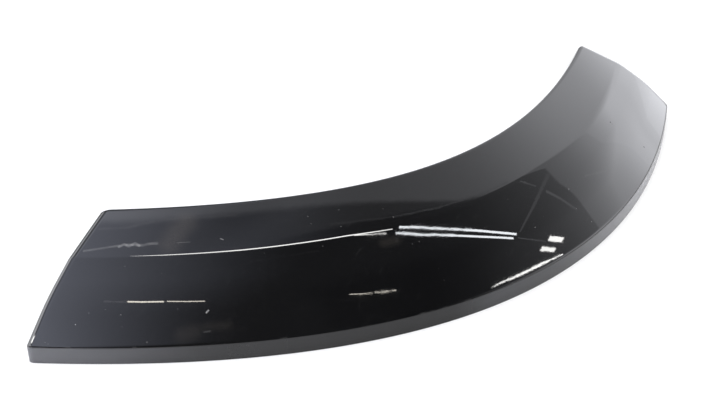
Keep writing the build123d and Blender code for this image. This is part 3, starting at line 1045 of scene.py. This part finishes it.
def ceiling_material():
    """Soft light from overhead, as strength over the plan of the ceiling.

    The middle is dim, and dimmer at the front. The left side grows with the square of the distance past a
    slanting line, less a dip further back. Past it comes a dark gap, and then a bright corner. The far side
    begins at a parabola in x with a small step, and a second step follows behind it that comes closer and
    sharper towards the right. Both sides fade out at the back. The right side grows with a power of x, more
    so further back, with a step at a slanting line.
    """
    material, tree = fresh_material("soft_ceiling")
    x, y, _ = numbers_of(tree, node(tree, "ShaderNodeTexCoord").outputs["Object"])

    turn = math(tree, "SUBTRACT", math(tree, "MINIMUM", x, FAR_STOP), FAR_TURN)
    past_front = slope(tree, times(tree, turn, turn), y, *FAR_LINE)
    first = ramp(tree, past_front, *FAR_STEP, 0.0, ramp(tree, x, *FAR_STEP_LEVEL))
    before = over(tree, SECOND_START, x)
    soft = total(tree, math(tree, "MULTIPLY_ADD", before, *SECOND_SOFT), ramp(tree, x, *SECOND_SOFT_RIGHT))
    behind = math(tree, "SUBTRACT", past_front, math(tree, "MULTIPLY_ADD", before, *SECOND_LAG))
    beyond = ramp(tree, behind, math(tree, "MULTIPLY", soft, -1.0), soft, 0.0, 1.0)
    level = total(tree, *(ramp(tree, x, *span) for span in SECOND_LEVELS))
    back = math(tree, "MULTIPLY_ADD", over(tree, x, BACK_START), BACK_SLANT, y)
    fade = ramp(tree, back, *BACK_FADE)
    far = times(tree, math(tree, "MULTIPLY_ADD", beyond, level, first), fade)

    past_left = slope(tree, x, y, *CORNER_LINE)
    reach = ramp(tree, slope(tree, x, y, *LEFT_LINE), *LEFT_RISE, smooth=False)
    left = over(tree, times(tree, reach, reach, LEFT_STRENGTH), ramp(tree, y, *LEFT_DIP))
    left = times(tree, left, ramp(tree, past_left, *GAP_FALL), fade)
    corner = times(tree, ramp(tree, past_left, *CORNER_RISE), ramp(tree, x, *CORNER_LEFT))

    run = math(tree, "POWER", over(tree, x, RIGHT_START), RIGHT_POWER)
    right = math(tree, "MINIMUM", times(tree, run, RIGHT_STRENGTH), RIGHT_MOST)
    deeper = total(tree, *(ramp(tree, y, *span) for span in RIGHT_DEEPER))
    past = ramp(tree, slope(tree, x, y, *RIGHT_LINE), *RIGHT_STEP)
    past = times(tree, past, math(tree, "SUBTRACT", 1.0, beyond))
    right = math(tree, "MULTIPLY_ADD", right, deeper, past)

    front = times(tree, ramp(tree, x, *FRONT_ACROSS), ramp(tree, y, *FRONT_ALONG))
    plain = total(tree, far, right, corner, ramp(tree, x, *BASE), front)
    light = both(tree, emission(tree, LEFT_TINT, left), emission(tree, PLAIN_TINT, plain))
    node(tree, "ShaderNodeOutputMaterial", {"Surface": light})
    return material


def studio_world():
    """Walls round the floor: bright to the right and at the back on the left, and dim elsewhere."""
    world = bpy.data.worlds.new("studio")
    world.use_nodes = True
    tree = world.node_tree
    tree.nodes.clear()
    x, y, _ = numbers_of(tree, node(tree, "ShaderNodeTexCoord").outputs["Generated"])
    left = times(tree, ramp(tree, x, *LEFT_WALL), ramp(tree, y, *LEFT_BACK))
    walls = total(tree, left, ramp(tree, x, *RIGHT_WALL))
    strength = between(tree, node(tree, "ShaderNodeLightPath").outputs["Is Camera Ray"], walls, 1.0)
    back = node(tree, "ShaderNodeBackground", {"Color": (*PLAIN_TINT, 1.0), "Strength": strength})
    node(tree, "ShaderNodeOutputWorld", {"Surface": back.outputs[0]})
    return world


def shifted(pixels, across, down):
    """Pixels moved across and down."""
    return tuple((x + across, y + down) for x, y in pixels)


# Tube lamps, by the highlights that they leave: pixels of the upper and of the lower edge, strength, tint
LONG_TUBE = ((399, 226.0), (420, 226.5), (450, 227.9), (480, 229.7), (505, 232.0), (516.5, 233.2))
NEXT_TUBE = ((396, 232.5), (420, 233.1), (450, 234.3), (480, 235.6), (505, 236.8), (513.5, 237.3))
SHORT_TUBES = ((550.2, 235.8), (564.4, 237.4)), ((542.2, 246.7), (555.9, 247.6))
LEFT_TUBES = ((127.5, 301.0), (145, 301.3), (164, 301.0)), ((167, 300.9), (186, 301.0), (205, 300.8))
FRONT_TUBES = ((349, 294.1), (361, 293.5), (372.5, 292.6)), ((374.5, 291.9), (385, 291.0), (396, 289.7))
FORK = ((354, 234.9), (370, 234.0), (386, 232.7))
LIP_UPPER = ((491, 287.6), (500, 282.3), (512, 276.9), (525, 270.8), (540, 263.6), (552, 258.3),
             (563, 254.2))
LIP_LOWER = ((491, 287.9), (500, 283.7), (512, 279.0), (525, 273.6), (540, 266.2), (552, 260.0),
             (563, 254.6))
BEAM_LEFT = ((546.6, 174.0), (532.4, 205.0), (519.2, 232.0))
BEAM_RIGHT = ((550.6, 174.0), (535.6, 205.0), (520.8, 232.0))
RAILS = (((520, 180.6), (536, 185.6)), ((546, 189.6), (560, 197.0), (577, 208.6)),
         ((518, 237.4), (546, 241.2)))
EDGE_LINES = (((330, 223.7), (394, 216.2)),
              ((394, 216.2), (440, 206.8), (464, 199.5), (486, 191.2), (508, 181.5)))
HIGHLIGHTS = (
    (LONG_TUBE, shifted(LONG_TUBE, 0, 2.2), 21.0, COOL),
    (NEXT_TUBE, shifted(NEXT_TUBE, 0, 2.0), 21.0, COOL),
    (SHORT_TUBES[0], shifted(SHORT_TUBES[0], -2.5, 5.1), 20.0, WHITE),
    (SHORT_TUBES[1], shifted(SHORT_TUBES[1], -2.5, 4.2), 20.0, WHITE),
    (LEFT_TUBES[0], shifted(LEFT_TUBES[0], 0, 1.3), 20.0, WARM),
    (LEFT_TUBES[1], shifted(LEFT_TUBES[1], 0, 0.9), 17.0, WARM),
    (FRONT_TUBES[0], shifted(FRONT_TUBES[0], 0, 0.7), 15.0, WARM),
    (FRONT_TUBES[1], shifted(FRONT_TUBES[1], 0, 0.7), 20.0, WARM),
    (FORK, shifted(FORK, 0, 0.9), 20.0, WHITE),
    (LIP_UPPER, LIP_LOWER, 26.0, WHITE),
    (BEAM_LEFT, BEAM_RIGHT, 0.95, PLAIN_TINT),
    (RAILS[0], shifted(RAILS[0], 0, 1.3), 1.15, PLAIN_TINT),
    (RAILS[1], shifted(RAILS[1], 0, 2.6), 1.25, PLAIN_TINT),
    (RAILS[2], shifted(RAILS[2], 0, 1.0), 1.3, PLAIN_TINT),
    (EDGE_LINES[0], shifted(EDGE_LINES[0], 0, 1.0), 0.6, PLAIN_TINT),
    (EDGE_LINES[1], shifted(EDGE_LINES[1], 0, 0.9), 1.0, PLAIN_TINT),
)
# Highlight on the crease's rounding: shares of the rim line, middle and half width on the arc from 0 to 1
CREASE_LINE = ((0.105, 0.80, 0.03), (0.14, 0.70, 0.14), (0.216, 0.66, 0.18), (0.28, 0.80, 0.15),
               (0.332, 0.78, 0.14), (0.360, 0.45, 0.12), (0.386, 0.12, 0.08))
CREASE_STRENGTH, CREASE_POINTS = 24.0, 56
# Glint on the left end's rounding: spans of the face's lower part and of the rounding's arc, from 0 to 1
GLINT_SPAN, GLINT_TURN = (0.05, 0.30), (0.20, 0.30)
GLINT_STRENGTH, GLINT_POINTS = 26.0, 9
PIXELS_PER_CELL = 3.0
LAMP_GAP = 0.001


def mesh_object(name, mesh, material):
    """An object that is not linked to the scene yet."""
    mesh.materials.append(material)
    return bpy.data.objects.new(name, mesh)


def level_sheet(name, x_span, y_span, height, material):
    """Level rectangle."""
    mesh = bpy.data.meshes.new(name)
    corners = [(x_span[i], y_span[j], height) for i, j in ((0, 0), (1, 0), (1, 1), (0, 1))]
    mesh.from_pydata(corners, [], [(0, 1, 2, 3)])
    return mesh_object(name, mesh, material)


def glow_material(strength, tint):
    """Even light of one tube lamp."""
    material, tree = fresh_material("tube_lamp")
    node(tree, "ShaderNodeOutputMaterial", {"Surface": emission(tree, tint, strength)})
    return material


def tube_lamps(mirror, height):
    """Flat glowing ribbons that look down, each between two edges that the face mirrors as a highlight."""
    ribbons = []
    for upper, lower, strength, tint in HIGHLIGHTS:
        reach = np.linalg.norm(np.diff(np.array(upper), axis=0), axis=1).sum()
        count = max(2, int(reach / PIXELS_PER_CELL) + 1)
        edges = [mirror.touch(resample(np.array(edge, float), count)) for edge in (upper, lower)]
        ribbons.append((edges, strength, tint))

    shares, middles, halves = np.array(CREASE_LINE).T
    at = np.linspace(shares[0], shares[-1], CREASE_POINTS)
    middle, half = np.interp(at, shares, middles), np.interp(at, shares, halves)
    arc = np.full(CREASE_POINTS, CREASE)
    edges = [mirror.arch.surface((arc, place), at) for place in (middle + half, middle - half)]
    ribbons.append((edges, CREASE_STRENGTH, WHITE))

    rows = (np.full(GLINT_POINTS, LOWER), np.linspace(*GLINT_SPAN, GLINT_POINTS))
    _, points, normals = end_rounding(mirror.arch, rows, False, np.array(GLINT_TURN))
    edges = [(points[:, i], normals[:, i]) for i in (0, 1)]
    ribbons.append((edges, GLINT_STRENGTH, WHITE))

    lamps = []
    for i, (edges, strength, tint) in enumerate(ribbons):
        points = np.array([mirror.throw(*edge, height - i * LAMP_GAP) for edge in edges])
        corners = patch(points, DOWN)[0].reshape(-1, 3)
        mesh = bpy.data.meshes.new("tube_lamp")
        mesh.from_pydata(corners.tolist(), [], np.arange(len(corners)).reshape(-1, 4).tolist())
        lamps.append(mesh_object("tube_lamp_%d" % i, mesh, glow_material(strength, tint)))
    return lamps


# Operators

def finish_material(context):
    """The one material of the part, made when it is first asked for."""
    scene = context.scene
    made = bpy.data.materials.get(MATERIAL)
    return made or black_plastic(scene.arch_finish, Mirror(Arch(scene.arch_sizes), View(scene.arch_stage)))


def make_back(context, name, patches):
    """A piece behind the face, from the function that gives its patches."""
    scene = context.scene
    build(name, patches(Arch(scene.arch_sizes), scene.arch_back), finish_material(context))
    return {"FINISHED"}


class ARCH_OT_shell(bpy.types.Operator):
    """Make the moulded shell with its face, lip, return and end walls"""
    bl_idname = "arch.shell"
    bl_label = "Shell"

    def execute(self, context):
        sizes = context.scene.arch_sizes
        piece = build("arch_shell", shell_patches(Arch(sizes)), finish_material(context))
        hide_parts("arch_trim")
        return {"FINISHED"}


class ARCH_OT_ribs(bpy.types.Operator):
    """Make the ribs behind the face"""
    bl_idname = "arch.ribs"
    bl_label = "Ribs"

    def execute(self, context):
        return make_back(context, "ribs", rib_patches)


class ARCH_OT_towers(bpy.types.Operator):
    """Make the clip towers behind the face"""
    bl_idname = "arch.towers"
    bl_label = "Clip towers"

    def execute(self, context):
        return make_back(context, "clip_towers", tower_patches)


class ARCH_OT_tabs(bpy.types.Operator):
    """Make the screw tabs on the return"""
    bl_idname = "arch.tabs"
    bl_label = "Screw tabs"

    def execute(self, context):
        return make_back(context, "screw_tabs", tab_patches)


class ARCH_OT_stage(bpy.types.Operator):
    """Set up the floor, the light and the camera"""
    bl_idname = "arch.stage"
    bl_label = "Stage"

    def execute(self, context):
        scene = context.scene
        look = scene.arch_stage
        view = View(look)
        span = (-look.floor_reach, look.floor_reach)
        floor = level_sheet("floor", span, span, 0.0, floor_material(look.floor))
        ceiling = level_sheet("ceiling", CEILING_X, CEILING_Y, look.ceiling_height, ceiling_material())
        lamps = tube_lamps(Mirror(Arch(scene.arch_sizes), view), look.lamp_height)
        for light in (ceiling, *lamps):
            light.visible_camera = False
        for piece in (floor, ceiling, *lamps):
            scene.collection.objects.link(piece)
        scene.world = studio_world()
        data = bpy.data.cameras.new("camera")
        data.sensor_width = look.sensor
        data.lens = look.lens
        camera = bpy.data.objects.new("camera", data)
        scene.collection.objects.link(camera)
        turn = Matrix((view.right, view.up, -view.forward)).transposed().to_4x4()
        camera.matrix_world = Matrix.Translation(look.place) @ turn
        scene.camera = camera
        scene.view_settings.view_transform = "Standard"
        return {"FINISHED"}


class ARCH_PT_panel(bpy.types.Panel):
    """Pieces of the wheel arch trim"""
    bl_idname = "ARCH_PT_panel"
    bl_label = "Wheel arch trim"
    bl_space_type = "VIEW_3D"
    bl_region_type = "UI"
    bl_category = "Arch trim"

    def draw(self, context):
        for operator in OPERATORS:
            self.layout.operator(operator.bl_idname)


GROUPS = {"arch_sizes": ArchSizes, "arch_back": BackSizes, "arch_finish": Finish, "arch_stage": StageLook}
OPERATORS = (ARCH_OT_shell, ARCH_OT_ribs, ARCH_OT_towers, ARCH_OT_tabs, ARCH_OT_stage)


def register():
    for cls in (*GROUPS.values(), *OPERATORS, ARCH_PT_panel):
        bpy.utils.register_class(cls)
    for name, group in GROUPS.items():
        setattr(bpy.types.Scene, name, PointerProperty(type=group))


def unregister():
    for name in GROUPS:
        delattr(bpy.types.Scene, name)
    for cls in (ARCH_PT_panel, *reversed(OPERATORS), *GROUPS.values()):
        bpy.utils.unregister_class(cls)


def main():
    register()
    bpy.ops.arch.shell()
    bpy.ops.arch.ribs()
    bpy.ops.arch.towers()
    bpy.ops.arch.tabs()
    bpy.ops.arch.stage()
    bpy.context.view_layer.update()


if __name__ == "__main__":
    main()
